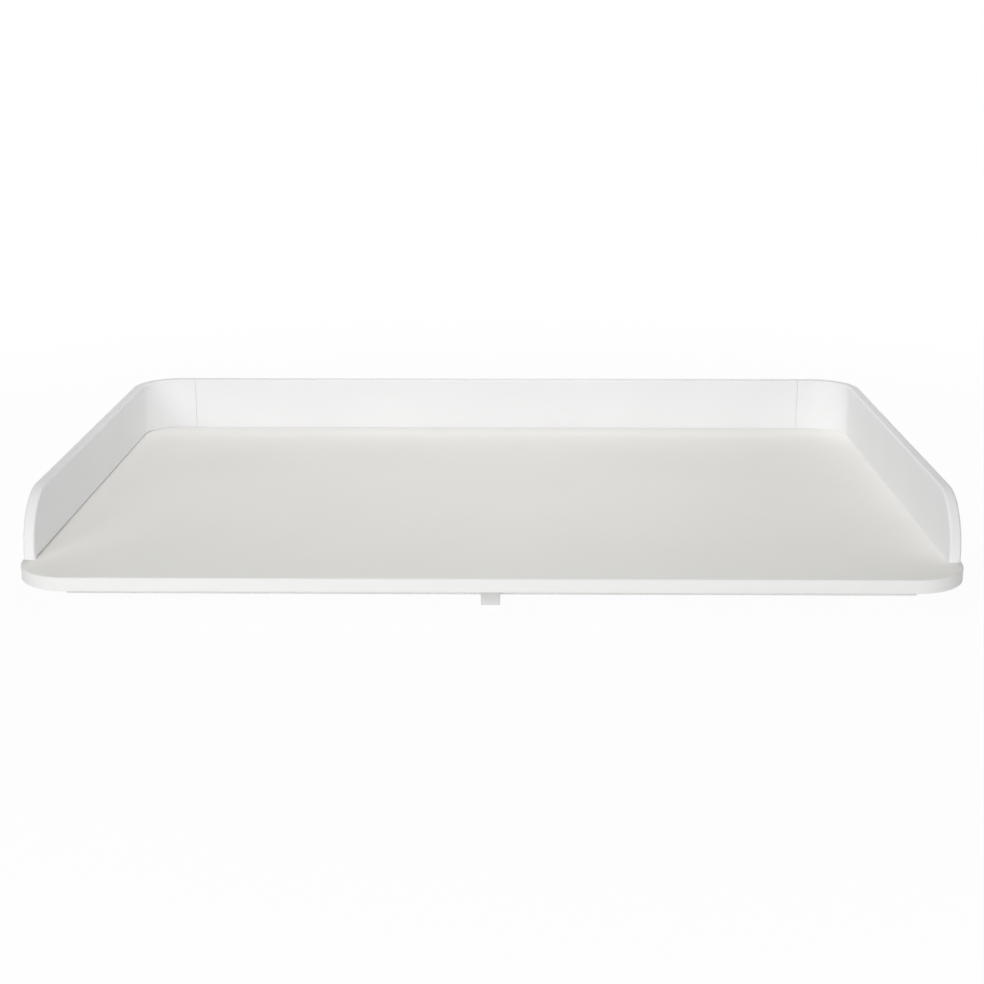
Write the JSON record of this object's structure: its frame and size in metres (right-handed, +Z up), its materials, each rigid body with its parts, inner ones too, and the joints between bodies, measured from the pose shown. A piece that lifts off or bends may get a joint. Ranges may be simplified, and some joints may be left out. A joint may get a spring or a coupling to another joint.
{
  "type": "changing top for a dresser",
  "caption": "Flat white changing tray for a dresser top, with rounded front corners and a low rim bent round the sides and back.",
  "frame": {"origin": "middle of the plane on which the battens stand on the dresser, at the middle of the centre batten's underside", "axes": "+X to the right as seen from the front, +Y to the back, +Z up; the open front edge faces -Y"},
  "size_m": [1.2, 0.8, 0.126],
  "materials": {
    "board_lacquer": "satin",
    "rim_lacquer": "satin",
    "batten_paint": "matte",
    "beech": "matte",
    "zinc_plate": "satin"
  },
  "bodies": {
    "root": {"base_board": "board_lacquer", "side_panel_left": "rim_lacquer", "side_panel_right": "rim_lacquer", "back_panel": "rim_lacquer", "front_batten": "batten_paint", "rear_batten": "batten_paint", "side_batten_left": "batten_paint", "side_batten_right": "batten_paint", "centre_batten": "batten_paint", "stop_block": "batten_paint", "rim_dowel_left_1": "beech", "rim_dowel_left_2": "beech", "rim_dowel_right_1": "beech", "rim_dowel_right_2": "beech", "rim_dowel_back_1": "beech", "rim_dowel_back_2": "beech", "seam_dowel_left_1": "beech", "seam_dowel_left_2": "beech", "seam_dowel_right_1": "beech", "seam_dowel_right_2": "beech", "rim_screw_left_1": "zinc_plate", "rim_screw_left_2": "zinc_plate", "rim_screw_left_3": "zinc_plate", "rim_screw_left_4": "zinc_plate", "rim_screw_right_1": "zinc_plate", "rim_screw_right_2": "zinc_plate", "rim_screw_right_3": "zinc_plate", "rim_screw_right_4": "zinc_plate", "rim_screw_back_1": "zinc_plate", "rim_screw_back_2": "zinc_plate", "rim_screw_back_3": "zinc_plate", "rim_screw_back_4": "zinc_plate", "front_batten_screw_1": "zinc_plate", "front_batten_screw_2": "zinc_plate", "front_batten_screw_3": "zinc_plate", "front_batten_screw_4": "zinc_plate", "rear_batten_screw_1": "zinc_plate", "rear_batten_screw_2": "zinc_plate", "rear_batten_screw_3": "zinc_plate", "rear_batten_screw_4": "zinc_plate", "side_batten_left_screw_1": "zinc_plate", "side_batten_left_screw_2": "zinc_plate", "side_batten_right_screw_1": "zinc_plate", "side_batten_right_screw_2": "zinc_plate", "centre_batten_screw_1": "zinc_plate", "centre_batten_screw_2": "zinc_plate", "stop_block_screw_1": "zinc_plate"}
  },
  "joints": []
}
